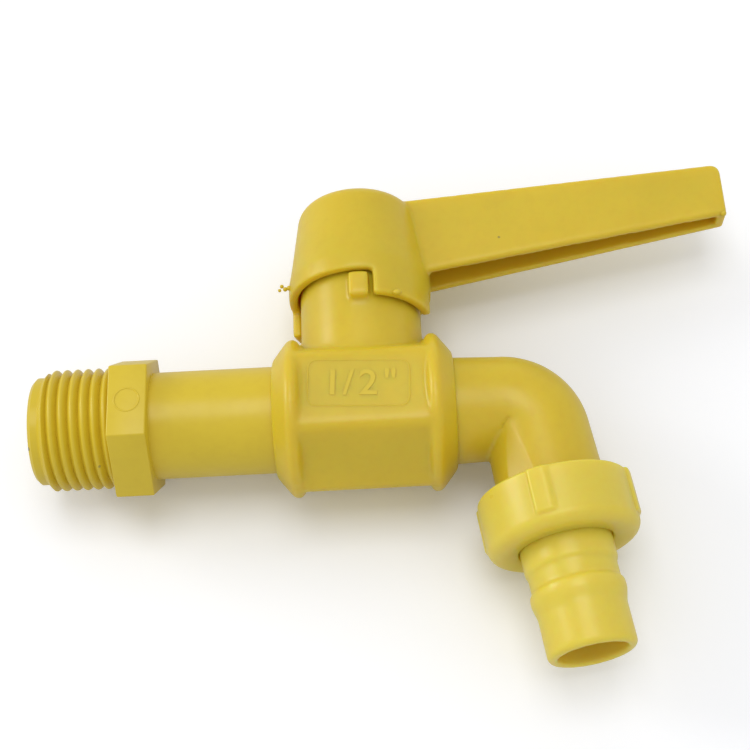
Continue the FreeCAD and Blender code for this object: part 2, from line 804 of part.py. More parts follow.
def make_handle():
    body = new_body("handle", place=stem_place)
    hub = new_sketch(body, "XZ_Plane", "hub_outside")
    add_outline(hub, [
        (0, skirt_low), (-skirt_radius, skirt_low), (-skirt_radius, band_top, s.band_rounding),
        (-flare_radius, flare_top, s.flare_rounding),
        (-shoulder_radius, hub_top, s.hub_rounding), (0, hub_top),
    ])
    revolve(body, hub, "V_Axis")
    root_section = lever_section(body, "lever_root", 0, s.lever_root_half_width,
                                 lever_root_low, lever_root_top)
    tip_section = lever_section(body, "lever_tip", s.lever_reach, s.lever_tip_half_width,
                                lever_tip_low, lever_tip_top)
    lever = loft(body, root_section, tip_section)
    lever = round_edges(body, lever, s.lever_end_rounding, is_tip_upper_edge)
    round_edges(body, lever, s.lever_edge_rounding, is_long_upper_edge)
    sections = []
    for name, place in (("channel_root", skirt_radius),
                        ("channel_tip", s.lever_reach - s.lever_end_wall)):
        half = between(s.lever_root_half_width, s.lever_tip_half_width, place) - s.lever_wall
        low = between(lever_root_low, lever_tip_low, place) - s.lever_wall
        top = between(lever_root_top, lever_tip_top, place) - s.lever_wall
        sections.append(lever_section(body, name, place, half, low, top))
    loft(body, sections[0], sections[1], cut=True)
    inside = new_sketch(body, "XZ_Plane", "hub_inside")
    add_outline(inside, [
        (0, skirt_low), (skirt_inner, skirt_low), (skirt_inner, band_top),
        (flare_radius - s.hub_wall, flare_top),
        (roof_radius, roof_low), (boss_radius, roof_low), (boss_radius, boss_low),
        (0, boss_low),
    ])
    revolve(body, inside, "V_Axis", cut=True)
    cut_skirt_gap(body, 90, "skirt_gap_back")
    cut_skirt_gap(body, 270, "skirt_gap_front")
    socket = new_sketch(body, "XY_Plane", "square_socket", shift=(0, 0, boss_low))
    half = s.square_side / 2 + s.socket_gap
    add_outline(socket, [(-half, -half), (half, -half), (half, half), (-half, half)])
    pad(body, socket, socket_top - boss_low, cut=True, backwards=True)
    screw_way = new_sketch(body, "XZ_Plane", "screw_way")
    clear = s.screw_radius + s.screw_clearance
    add_outline(screw_way, [
        (0, boss_low), (clear, boss_low), (clear, counterbore_floor),
        (counterbore_radius, counterbore_floor), (counterbore_radius, hub_top),
        (0, hub_top),
    ])
    revolve(body, screw_way, "V_Axis", cut=True)
    return body


# Screw with a cross recess, sunk in the hub's top

def make_handle_screw():
    body = new_body("handle_screw", place=stem_place)
    profile = new_sketch(body, "XZ_Plane", "screw_profile")
    head_top = counterbore_floor + s.head_height
    tip = stem_top - s.screw_depth + s.web_gap
    add_outline(profile, [
        (0, tip), (s.screw_radius, tip + s.screw_radius), (s.screw_radius, counterbore_floor),
        (head_radius, counterbore_floor), (head_radius, head_top, s.head_rounding),
        (0, head_top),
    ])
    revolve(body, profile, "V_Axis")
    cross = new_sketch(body, "XY_Plane", "cross_recess", shift=(0, 0, head_top))
    thin = s.cross_width / 2
    wide = s.cross_span / 2
    add_outline(cross, [
        (-thin, -wide), (thin, -wide), (thin, -thin), (wide, -thin), (wide, thin),
        (thin, thin), (thin, wide), (-thin, wide), (-thin, thin), (-wide, thin),
        (-wide, -thin), (-thin, -thin),
    ])
    pad(body, cross, s.cross_depth, cut=True)
    return body


# Union nut with four grip ribs, about the outlet axis

def make_union_nut():
    body = new_body("union_nut", place=outlet_place, lean=s.outlet_lean)
    profile = new_sketch(body, "XZ_Plane", "nut_profile")
    add_outline(profile, [
        (lip_bore, -nut_end), (nut_radius, -nut_end, s.nut_rounding),
        (nut_radius, -nut_top, s.nut_top_rounding),
        (nut_bore, -nut_top), (nut_bore, -lip_top), (lip_bore, -lip_top),
    ])
    revolve(body, profile, "V_Axis")
    rib_low = nut_end - s.rib_stop
    rib = new_sketch(body, "XY_Plane", "grip_rib", shift=(0, 0, -rib_low), turn=-s.rib_turn)
    half = s.rib_width / 2
    inner = nut_radius - s.nut_rounding
    outer = nut_radius + s.rib_height
    add_outline(rib, [(-half, -inner), (half, -inner),
                      (half - s.rib_height / 2, -outer), (s.rib_height / 2 - half, -outer)])
    first = pad(body, rib, rib_low - nut_top - s.nut_top_rounding)
    ribs = body.newObject("PartDesign::PolarPattern", "grip_ribs")
    ribs.Originals = [first]
    upright = [item for item in body.Origin.OriginFeatures if item.Role == "Z_Axis"]
    ribs.Axis = (upright[0], [""])
    ribs.Angle = 360
    ribs.Occurrences = RIB_COUNT
    body.Tip = ribs
    doc.recompute()
    return body


# Hose nozzle with a flange under the nut's lip and one rounded barb

def make_hose_nozzle():
    body = new_body("hose_nozzle", place=outlet_place, lean=s.outlet_lean)
    profile = new_sketch(body, "XZ_Plane", "nozzle_profile")
    step = nozzle_root_radius - nozzle_groove_radius
    add_outline(profile, [
        (nozzle_bore, -nozzle_flange_top), (nozzle_flange_radius, -nozzle_flange_top),
        (nozzle_flange_radius, -lip_top), (nozzle_root_radius, -lip_top),
        (nozzle_root_radius, -nozzle_root_end),
        (nozzle_groove_radius, -nozzle_root_end - step),
        (nozzle_groove_radius, -barb_start),
        (barb_radius, -barb_start, s.barb_rounding),
        (barb_radius, -barb_crest_end, s.barb_rounding),
        (tail_radius, -barb_end, s.barb_blend),
        (tail_radius, -nozzle_end, tail_rounding),
        (nozzle_bore, -nozzle_end, s.tail_inner_rounding),
    ])
    revolve(body, profile, "V_Axis")
    return body


# Flat washer between the leg's end and the nozzle's flange

def make_nozzle_washer():
    body = new_body("nozzle_washer", place=outlet_place, lean=s.outlet_lean)
    profile = new_sketch(body, "XZ_Plane", "washer_profile")
    add_outline(profile, [
        (bore_radius, -nozzle_flange_top), (washer_radius, -nozzle_flange_top),
        (washer_radius, -outlet_end), (bore_radius, -outlet_end),
    ])
    revolve(body, profile, "V_Axis")
    return body


pieces = [
    make_inlet_tail(),
    make_outlet_elbow(),
    make_valve_shell(),
    make_ball(),
    make_seat("inlet_seat", -1),
    make_seat("outlet_seat", 1),
    make_stem(),
    make_o_ring("lower_o_ring", lower_ring_place),
    make_o_ring("upper_o_ring", upper_ring_place),
    make_handle(),
    make_handle_screw(),
    make_union_nut(),
    make_hose_nozzle(),
    make_nozzle_washer(),
]
doc.recompute()

# Nothing is written unless every object is sound

for item in doc.Objects:
    if "Invalid" in item.State or "Error" in item.State:
        raise RuntimeError(f"{item.Label} has state {item.State}")
for piece in pieces:
    if piece.Shape.isNull() or not piece.Shape.isValid():
        raise RuntimeError(f"{piece.Label} has no valid shape")
    if len(piece.Shape.Solids) != 1:
        raise RuntimeError(f"{piece.Label} is {len(piece.Shape.Solids)} solids")

os.makedirs("parts", exist_ok=True)
for piece in pieces:
    piece.Shape.exportStep(f"parts/{piece.Label}.step")
    box = piece.Shape.BoundBox
    print(f"{piece.Label}: volume {piece.Shape.Volume:.1f}, x {box.XMin:.2f} to {box.XMax:.2f}, "
          f"y {box.YMin:.2f} to {box.YMax:.2f}, z {box.ZMin:.2f} to {box.ZMax:.2f}")
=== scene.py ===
"""Looks of the plastic lever faucet, laid out as an add-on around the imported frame."""

import math

import bmesh
import bpy
from mathutils import Matrix, Quaternion, Vector


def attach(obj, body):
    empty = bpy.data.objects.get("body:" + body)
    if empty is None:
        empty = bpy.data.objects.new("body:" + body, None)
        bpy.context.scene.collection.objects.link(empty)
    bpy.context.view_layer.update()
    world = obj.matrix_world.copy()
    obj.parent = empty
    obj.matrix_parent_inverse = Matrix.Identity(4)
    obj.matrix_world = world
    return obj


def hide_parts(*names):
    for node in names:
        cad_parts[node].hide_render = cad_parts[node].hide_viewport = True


bl_info = {
    "name": "Lever Faucet Looks",
    "version": (1, 0, 0),
    "blender": (4, 5, 0),
    "location": "View3D > Sidebar > Faucet",
    "description": "Thread, mouldings, finishes and table of a plastic lever faucet",
    "category": "Object",
}

MM = 0.001
TOUCH = 1e-6
MERGE = 1e-5

# The outlet's own frame: where its axis starts, in mm, and how far it leans outwards
OUTLET_PLACE = 71.2
OUTLET_LEAN = math.radians(8)

# The range that a noise texture mostly stays in
NOISE_LOW = 0.3
NOISE_HIGH = 0.7

# How fine each finish's pattern is: a higher scale is a finer one
FLOW_SCALE = 55
SPECK_SCALE = 95
GLOSS_SCALE = 140
PEEL_SCALE = 380
MOTTLE_SCALE = 620
TABLE_SCALE = 6
INNER_SCALE = 300
RUBBER_SCALE = 800
STEEL_SCALE = 900

# The body's plastic and the nut's plastic where they are deeper in tone
DEEP_GOLD = (0.6, 0.4, 0.02)
DEEP_LEMON = (0.74, 0.52, 0.03)

# Place in mm, radius in mm and colour of each small stain on the plastic
SMALL_STAINS = (
    ((-13.8, -6.35, -5.95), 0.42, (0.06, 0.05, 0.03)),
    ((-4.9, -7.1, -7.7), 0.5, (0.2, 0.2, 0.08)),
    ((-1.95, -4.9, -9.25), 0.4, (0.3, 0.24, 0.06)),
    ((68.05, -4.1, 31.95), 0.3, (0.3, 0.22, 0.05)),
)

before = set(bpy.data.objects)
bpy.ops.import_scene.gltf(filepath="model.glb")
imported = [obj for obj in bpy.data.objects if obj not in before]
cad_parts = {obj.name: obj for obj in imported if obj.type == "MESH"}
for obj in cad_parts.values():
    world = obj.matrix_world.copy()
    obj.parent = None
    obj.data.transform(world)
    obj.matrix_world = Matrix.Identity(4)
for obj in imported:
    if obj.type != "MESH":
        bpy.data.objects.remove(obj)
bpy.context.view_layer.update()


# Settings that a user would change

class FaucetShapes(bpy.types.PropertyGroup):
    """Sizes of the shapes that are made here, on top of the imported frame."""

    thread_pitch: bpy.props.FloatProperty(
        name="Thread pitch", description="Distance from crest to crest",
        default=1.814 * MM, unit="LENGTH")
    thread_crest: bpy.props.FloatProperty(
        name="Thread crest", description="Radius over the thread's crests",
        default=10.45 * MM, unit="LENGTH")
    thread_root: bpy.props.FloatProperty(
        name="Thread root", description="Radius at the bottom of the thread",
        default=9.35 * MM, unit="LENGTH")
    thread_phase: bpy.props.FloatProperty(
        name="Thread phase", description="Place of one crest on the upper side",
        default=-12.1 * MM, unit="LENGTH")
    edge_radius: bpy.props.FloatProperty(
        name="Edge radius", description="Rounding of the hexagon's edges",
        default=0.25 * MM, unit="LENGTH")
    mark_height: bpy.props.FloatProperty(
        name="Mark height", description="How far the size mark's signs stand out",
        default=0.07 * MM, unit="LENGTH")
    grain: bpy.props.FloatProperty(
        name="Grain", description="Face size of the mouldings whose corners are rounded off",
        default=0.31 * MM, unit="LENGTH")


class FaucetFinish(bpy.types.PropertyGroup):
    """Colours of the finishes, as they render in plain light."""

    body_colour: bpy.props.FloatVectorProperty(
        name="Body colour", description="Golden yellow of the body and the lever",
        default=(0.7, 0.52, 0.026), subtype="COLOR", min=0, max=1)
    nut_colour: bpy.props.FloatVectorProperty(
        name="Nut colour", description="Paler yellow of the union nut and the nozzle",
        default=(0.79, 0.635, 0.075), subtype="COLOR", min=0, max=1)
    white_colour: bpy.props.FloatVectorProperty(
        name="White colour", description="Off-white of the ball, seats and stem",
        default=(0.75, 0.75, 0.72), subtype="COLOR", min=0, max=1)
    table_colour: bpy.props.FloatVectorProperty(
        name="Table colour",
        description="White of the table as the camera sees it, above 1 to make up for shade",
        default=(1.08, 1.09, 1.12), subtype="COLOR", min=0, max=2)


class FaucetLights(bpy.types.PropertyGroup):
    """Strengths of the lamps and the world."""

    world_strength: bpy.props.FloatProperty(
        name="World strength", description="Light from all round", default=0.66, min=0)
    main_power: bpy.props.FloatProperty(
        name="Main power", description="Wide soft lamp above the camera", default=8.0, min=0)
    side_power: bpy.props.FloatProperty(
        name="Side power", description="Small soft lamp on the far left", default=2.4, min=0)


# Helpers for meshes

def new_form():
    return bmesh.new()


def finish_form(form, name, body, material, node=None, sharp_angle=math.radians(38)):
    """Make the form an object that rides on a body, smooth but for its sharp edges."""
    bmesh.ops.recalc_face_normals(form, faces=form.faces)
    mesh = bpy.data.meshes.new(name)
    form.to_mesh(mesh)
    form.free()
    mesh.shade_smooth()
    mesh.set_sharp_from_angle(angle=sharp_angle)
    mesh.materials.clear()
    mesh.materials.append(material)
    piece = bpy.data.objects.new(name, mesh)
    bpy.context.scene.collection.objects.link(piece)
    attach(piece, body)
    if node is not None:
        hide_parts(node)
    return piece


def copy_of_node(node):
    """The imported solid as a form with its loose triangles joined."""
    form = new_form()
    form.from_mesh(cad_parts[node].data)
    bmesh.ops.remove_doubles(form, verts=form.verts, dist=TOUCH)
    return form


def soften(form, edges, radius):
    """Round some edges of a form."""
    bmesh.ops.bevel(form, geom=edges, offset=radius, offset_type="OFFSET", affect="EDGES",
                    segments=3, profile=0.5, material=-1, clamp_overlap=True)


def round_off(form, grain, passes):
    """Even out a form's faces and round every corner a little, as its mould does."""
    mesh = bpy.data.meshes.new("rough")
    form.to_mesh(mesh)
    form.free()
    holder = bpy.data.objects.new("rough", mesh)
    bpy.context.scene.collection.objects.link(holder)
    even = holder.modifiers.new("even_faces", "REMESH")
    even.mode = "VOXEL"
    even.voxel_size = grain
    graph = bpy.context.evaluated_depsgraph_get()
    dense = bpy.data.meshes.new_from_object(holder.evaluated_get(graph), depsgraph=graph)
    form = new_form()
    form.from_mesh(dense)
    bpy.data.objects.remove(holder)
    bpy.data.meshes.remove(mesh)
    bpy.data.meshes.remove(dense)
    for _ in range(passes):
        bmesh.ops.smooth_vert(form, verts=form.verts, factor=0.5,
                              use_axis_x=True, use_axis_y=True, use_axis_z=True)
    return form


def add_blob(form, place, radius, stretch=(1, 1, 1)):
    """A small rounded lump of spare plastic."""
    sizes = Matrix.Diagonal((*stretch, 1))
    bmesh.ops.create_uvsphere(form, u_segments=16, v_segments=10, radius=radius * MM,
                              matrix=Matrix.Translation(Vector(place) * MM) @ sizes)


def lathe(form, outline, axis, steps):
    """Spin a closed outline of points in mm about an axis through the origin."""
    corners = [form.verts.new(Vector(point) * MM) for point in outline]
    edges = [form.edges.new(pair) for pair in zip(corners, corners[1:] + corners[:1])]
    bmesh.ops.spin(form, geom=corners + edges, cent=(0, 0, 0), axis=axis,
                   angle=2 * math.pi, steps=steps, use_merge=True)


def merge_in(form, other):
    """Put another form's faces into this one."""
    carrier = bpy.data.meshes.new("carrier")
    other.to_mesh(carrier)
    other.free()
    form.from_mesh(carrier)
    bpy.data.meshes.remove(carrier)


def outlet_frame():
    """From the outlet's own frame, with its leg straight down, to the part's frame."""
    return (Matrix.Translation((OUTLET_PLACE * MM, 0, 0))
            @ Matrix.Rotation(-OUTLET_LEAN, 4, "Y"))


def eased(share):
    """A share from 0 to 1 with soft ends."""
    return share * share * (3 - 2 * share)


# Helpers for materials

def shader_parts(name):
    """A new material with its node tree, shader and Object coordinates."""
    material = bpy.data.materials.new(name)
    material.use_nodes = True
    tree = material.node_tree
    shader = tree.nodes["Principled BSDF"]
    place = tree.nodes.new("ShaderNodeTexCoord")
    return material, tree, shader, place.outputs["Object"]


def noise(tree, place, scale, detail=2.0, roughness=0.5):
    texture = tree.nodes.new("ShaderNodeTexNoise")
    texture.inputs["Scale"].default_value = scale
    texture.inputs["Detail"].default_value = detail
    texture.inputs["Roughness"].default_value = roughness
    tree.links.new(place, texture.inputs["Vector"])
    return texture.outputs["Fac"]


def spread(tree, value, low, high, first, last):
    """Map a value from one range to another, clamped."""
    node = tree.nodes.new("ShaderNodeMapRange")
    node.inputs["From Min"].default_value = low
    node.inputs["From Max"].default_value = high
    node.inputs["To Min"].default_value = first
    node.inputs["To Max"].default_value = last
    tree.links.new(value, node.inputs["Value"])
    return node.outputs["Result"]


def spread_noise(tree, value, first, last):
    """Map a noise value to a range that it fills."""
    return spread(tree, value, NOISE_LOW, NOISE_HIGH, first, last)


def blend_colours(tree, factor, first, second):
    """Mix two colours, each a colour or a socket, by a factor socket."""
    node = tree.nodes.new("ShaderNodeMix")
    node.data_type = "RGBA"
    tree.links.new(factor, node.inputs["Factor"])
    for socket, colour in ((node.inputs["A"], first), (node.inputs["B"], second)):
        if isinstance(colour, bpy.types.NodeSocket):
            tree.links.new(colour, socket)
        else:
            socket.default_value = (*colour, 1)
    return node.outputs["Result"]


def shifted(colour, factor):
    return tuple(channel * factor for channel in colour)


def stain(tree, place, middle, radius):
    """How much a small round stain covers, falling to nought at its soft rim."""
    node = tree.nodes.new("ShaderNodeVectorMath")
    node.operation = "DISTANCE"
    node.inputs[1].default_value = Vector(middle) * MM
    tree.links.new(place, node.inputs[0])
    return spread(tree, node.outputs["Value"], radius * 0.55 * MM, radius * MM, 0.8, 0)


def moulded_plastic(name, colour, deep_colour, roughness=0.34, depth_share=0.75):
    """Smooth moulded plastic: slow flow marks, fine mottle, faint orange peel, a few specks."""
    material, tree, shader, place = shader_parts(name)
    flow = spread_noise(tree, noise(tree, place, FLOW_SCALE, detail=3), 0, 1)
    tone = blend_colours(tree, flow, shifted(colour, 0.955), shifted(colour, 1.03))
    mottle = spread(tree, noise(tree, place, MOTTLE_SCALE), 0.45, 0.75, 0, 0.16)
    tone = blend_colours(tree, mottle, tone, deep_colour)
    specks = tree.nodes.new("ShaderNodeTexVoronoi")
    specks.inputs["Scale"].default_value = SPECK_SCALE
    specks.inputs["Randomness"].default_value = 1
    tree.links.new(place, specks.inputs["Vector"])
    dot = spread(tree, specks.outputs["Distance"], 0.012, 0.02, 0.55, 0)
    tone = blend_colours(tree, dot, tone, shifted(deep_colour, 0.35))
    for middle, radius, tint in SMALL_STAINS:
        tone = blend_colours(tree, stain(tree, place, middle, radius), tone, tint)
    tree.links.new(tone, shader.inputs["Base Color"])
    gloss = spread_noise(tree, noise(tree, place, GLOSS_SCALE, detail=4, roughness=0.6),
                         roughness - 0.05, roughness + 0.06)
    tree.links.new(gloss, shader.inputs["Roughness"])
    peel = tree.nodes.new("ShaderNodeBump")
    peel.inputs["Strength"].default_value = 0.25
    peel.inputs["Distance"].default_value = 0.05 * MM
    tree.links.new(noise(tree, place, PEEL_SCALE, detail=3), peel.inputs["Height"])
    tree.links.new(peel.outputs["Normal"], shader.inputs["Normal"])
    shader.inputs["IOR"].default_value = 1.48
    shader.inputs["Subsurface Weight"].default_value = depth_share
    shader.inputs["Subsurface Radius"].default_value = (1.0, 0.6, 0.12)
    shader.inputs["Subsurface Scale"].default_value = 3.5 * MM
    return material


def inner_plastic(name, colour):
    """Plain off-white working plastic, slightly clouded."""
    material, tree, shader, place = shader_parts(name)
    cloud = noise(tree, place, INNER_SCALE, detail=3)
    tone = blend_colours(tree, spread_noise(tree, cloud, 0, 1), shifted(colour, 0.9), colour)
    tree.links.new(tone, shader.inputs["Base Color"])
    tree.links.new(spread_noise(tree, cloud, 0.3, 0.45), shader.inputs["Roughness"])
    return material


def dark_rubber(name):
    material, tree, shader, place = shader_parts(name)
    cloud = noise(tree, place, RUBBER_SCALE, detail=3)
    tone = blend_colours(tree, cloud, (0.015, 0.015, 0.015), (0.04, 0.04, 0.038))
    tree.links.new(tone, shader.inputs["Base Color"])
    tree.links.new(spread_noise(tree, cloud, 0.55, 0.75), shader.inputs["Roughness"])
    return material


def screw_steel(name):
    material, tree, shader, place = shader_parts(name)
    cloud = noise(tree, place, STEEL_SCALE, detail=4)
    tone = blend_colours(tree, cloud, (0.45, 0.45, 0.44), (0.62, 0.61, 0.6))
    tree.links.new(tone, shader.inputs["Base Color"])
    tree.links.new(spread_noise(tree, cloud, 0.25, 0.42), shader.inputs["Roughness"])
    shader.inputs["Metallic"].default_value = 1
    return material


def body_plastic():
    finish = bpy.context.scene.faucet_finish
    return bpy.data.materials.get("golden_plastic") or moulded_plastic(
        "golden_plastic", tuple(finish.body_colour), DEEP_GOLD)


def thin_plastic():
    """The body's plastic on thread, marks and flash, too thin for light to wander inside."""
    finish = bpy.context.scene.faucet_finish
    return bpy.data.materials.get("golden_detail") or moulded_plastic(
        "golden_detail", tuple(finish.body_colour), DEEP_GOLD, depth_share=0)


def nut_plastic():
    finish = bpy.context.scene.faucet_finish
    return bpy.data.materials.get("pale_plastic") or moulded_plastic(
        "pale_plastic", tuple(finish.nut_colour), DEEP_LEMON, roughness=0.32)


# Operators, one for each moulding

class FAUCET_OT_inlet_moulding(bpy.types.Operator):
    """Make the inlet moulding with its helical thread, hexagon and pipe"""

    bl_idname = "faucet.inlet_moulding"
    bl_label = "Inlet moulding"

    rim = -13.85
    lead_radius = 9.25
    pipe_radius = 9.2
    bore_radius = 6.3
    pipe_end = 33.55
    hexagon_flats = 22.3
    hexagon_length = 6.5
    mark_radius = 2.1
    mark_line = 0.16
    mark_rise = 0.05
    mark_steps = 48
    line_steps = 12
    bore_chamfer = 0.4
    lead_chamfer = 0.6
    rim_rounding = 0.22
    lead_end = 0.5
    pipe_start = 2.0
    tube_steps = 96
    sharp_corner = math.radians(35)
    ridge_start = -12.1
    ridge_end = 0.3
    ridge_slope = 1.1
    ridge_sink = 0.02
    turn_steps = 72
    spare_turns = 3
    flank_points = 14
    crest_fullness = 1.1

    def on_rim(self, edge):
        """An outward corner that runs round the inlet's open end."""
        start, end = (vertex.co.x for vertex in edge.verts)
        return (edge.is_manifold and edge.calc_face_angle_signed() > self.sharp_corner
                and start < (self.rim + 1) * MM and abs(start - end) < TOUCH)

    def tube(self):
        """Lead, core and pipe in one tube with softened rims."""
        form = new_form()
        profile = (
            (self.pipe_end, self.bore_radius), (self.rim + self.bore_chamfer, self.bore_radius),
            (self.rim, self.bore_radius + self.bore_chamfer),
            (self.rim, self.lead_radius - self.lead_chamfer),
            (self.rim + self.lead_chamfer, self.lead_radius), (self.lead_end, self.lead_radius),
            (self.pipe_start, self.pipe_radius), (self.pipe_end, self.pipe_radius),
        )
        lathe(form, [(along, 0, radius) for along, radius in profile], (1, 0, 0),
              self.tube_steps)
        rims = [edge for edge in form.edges if self.on_rim(edge)]
        soften(form, rims, self.rim_rounding * MM)
        return form

    def thread(self, shapes):
        """One rounded ridge swept round the lead, trimmed by a chamfer at its start."""
        form = new_form()
        pitch = shapes.thread_pitch
        start = self.ridge_start * MM
        turns = math.ceil(-start / pitch) + self.spare_turns
        first = shapes.thread_phase - 2.5 * pitch
        ridge = []
        for point in range(self.flank_points + 1):
            share = point / self.flank_points
            rise = math.sin(math.pi * share) ** self.crest_fullness
            radius = shapes.thread_root + (shapes.thread_crest - shapes.thread_root) * rise
            ridge.append(form.verts.new((first + share * pitch, 0, radius)))
        flanks = [form.edges.new(pair) for pair in zip(ridge, ridge[1:])]
        bmesh.ops.spin(form, geom=ridge + flanks, cent=(0, 0, 0), axis=(1, 0, 0),
                       dvec=(pitch / self.turn_steps, 0, 0), angle=2 * math.pi * turns,
                       steps=self.turn_steps * turns, use_merge=False)
        bmesh.ops.remove_doubles(form, verts=form.verts, dist=MERGE)
        for place, side in ((start, -1), (self.ridge_end * MM, 1)):
            bmesh.ops.bisect_plane(form, geom=form.verts[:] + form.edges[:] + form.faces[:],
                                   plane_co=(place, 0, 0), plane_no=(side, 0, 0),
                                   clear_outer=True)
        for vertex in form.verts:
            sunk = (self.lead_radius - self.ridge_sink) * MM
            limit = sunk + (vertex.co.x - start) * self.ridge_slope
            radius = math.hypot(vertex.co.y, vertex.co.z)
            if radius > limit:
                vertex.co.y *= limit / radius
                vertex.co.z *= limit / radius
        return form

    def hexagon(self, shapes):
        """The hexagonal flange, one corner up, with softened edges."""
        form = new_form()
        along_pipe = Matrix(((0, 0, 1, 0), (1, 0, 0, 0), (0, 1, 0, 0), (0, 0, 0, 1)))
        bmesh.ops.create_circle(form, cap_ends=True, segments=6,
                                radius=self.hexagon_flats * MM / math.sqrt(3),
                                matrix=along_pipe)
        grown = bmesh.ops.extrude_face_region(form, geom=form.faces[:])
        moved = [item for item in grown["geom"] if isinstance(item, bmesh.types.BMVert)]
        bmesh.ops.translate(form, verts=moved, vec=(self.hexagon_length * MM, 0, 0))
        bmesh.ops.recalc_face_normals(form, faces=form.faces)
        soften(form, form.edges[:], shapes.edge_radius)
        return form

    def round_mark(self):
        """The raised circle on the flat that faces the camera."""
        form = new_form()
        middle = Vector((self.hexagon_length / 2 * MM, -self.hexagon_flats / 2 * MM, 0))
        start = middle + Vector((self.mark_radius, self.mark_rise, 0)) * MM
        ring = bmesh.ops.create_circle(form, cap_ends=False, segments=self.line_steps,
                                       radius=self.mark_line * MM,
                                       matrix=Matrix.Translation(start))
        rim = list({edge for vertex in ring["verts"] for edge in vertex.link_edges})
        bmesh.ops.spin(form, geom=ring["verts"] + rim, cent=middle, axis=(0, 1, 0),
                       angle=2 * math.pi, steps=self.mark_steps, use_merge=True)
        return form

    def execute(self, context):
        shapes = context.scene.faucet_shapes
        form = self.tube()
        merge_in(form, self.thread(shapes))
        merge_in(form, self.hexagon(shapes))
        finish_form(form, "inlet_moulding", "tap_body", thin_plastic(),
                    node="inlet_tail")
        finish_form(self.round_mark(), "round_mark", "tap_body", thin_plastic())
        return {"FINISHED"}


class FAUCET_OT_valve_shell(bpy.types.Operator):
    """Make the valve shell with rounded-off corners and the raised size mark"""

    bl_idname = "faucet.valve_shell"
    bl_label = "Valve shell"

    rounding_passes = 12
    flat = -12.0
    mark_middle = (41.95, 0.55)
    mark_turn = math.radians(3)
    frame_half_size = (8.45, 4.2)
    frame_corner = 1.5
    frame_line = 0.14
    frame_sink = 0.5
    corner_steps = 6
    glyphs = (("1", -5.95), ("/", -2.6), ("2", 0.0), ('"', 4.1))
    glyph_size = 6.5
    glyph_base = -2.15
    glyph_boldness = 0.05
    glyph_wall_share = 0.4

    def on_flat(self):
        """From the mark's own plane to the flat that faces the camera."""
        across, up = self.mark_middle
        return (Matrix.Translation((across * MM, self.flat * MM, up * MM))
                @ Matrix.Rotation(self.mark_turn, 4, "Y")
                @ Matrix.Rotation(math.radians(90), 4, "X"))

    def stroke_form(self, curve):
        """A curve's raised strokes as a form on the flat."""
        holder = bpy.data.objects.new("stroke", curve)
        mesh = bpy.data.meshes.new_from_object(holder)
        mesh.transform(self.on_flat())
        form = new_form()
        form.from_mesh(mesh)
        bpy.data.meshes.remove(mesh)
        bpy.data.objects.remove(holder)
        return form

    def frame_form(self):
        """The raised line round the size mark, a rounded rectangle."""
        half_width, half_height = self.frame_half_size
        corner = self.frame_corner
        points = []
        for number, (x_side, y_side) in enumerate(((1, 1), (-1, 1), (-1, -1), (1, -1))):
            for step in range(self.corner_steps + 1):
                angle = math.pi / 2 * (number + step / self.corner_steps)
                points.append((x_side * (half_width - corner) + corner * math.cos(angle),
                               y_side * (half_height - corner) + corner * math.sin(angle)))
        curve = bpy.data.curves.new("mark_frame", type="CURVE")
        curve.dimensions = "3D"
        curve.bevel_depth = self.frame_line * MM
        curve.bevel_resolution = 2
        line = curve.splines.new("POLY")
        line.points.add(len(points) - 1)
        for point, (x, y) in zip(line.points, points):
            point.co = (x * MM, y * MM, -self.frame_sink * self.frame_line * MM, 1)
        line.use_cyclic_u = True
        form = self.stroke_form(curve)
        bpy.data.curves.remove(curve)
        return form

    def glyph_form(self, glyph, start, height):
        """One raised sign of the plain size number."""
        text = bpy.data.curves.new("size_mark", type="FONT")
        text.body = glyph
        text.size = self.glyph_size * MM
        text.offset = self.glyph_boldness * MM
        text.extrude = height * self.glyph_wall_share
        text.bevel_depth = height * (1 - self.glyph_wall_share)
        text.bevel_resolution = 2
        text.resolution_u = 6
        form = self.stroke_form(text)
        bpy.data.curves.remove(text)
        shift = self.on_flat().to_3x3() @ Vector((start * MM, self.glyph_base * MM, 0))
        bmesh.ops.translate(form, verts=form.verts, vec=shift)
        return form

    def execute(self, context):
        shapes = context.scene.faucet_shapes
        shell = round_off(copy_of_node("valve_shell"), shapes.grain, self.rounding_passes)
        finish_form(shell, "shell_moulding", "tap_body", body_plastic(),
                    node="valve_shell")
        mark = self.frame_form()
        for glyph, start in self.glyphs:
            merge_in(mark, self.glyph_form(glyph, start, shapes.mark_height))
        finish_form(mark, "size_mark", "tap_body", thin_plastic())
        return {"FINISHED"}


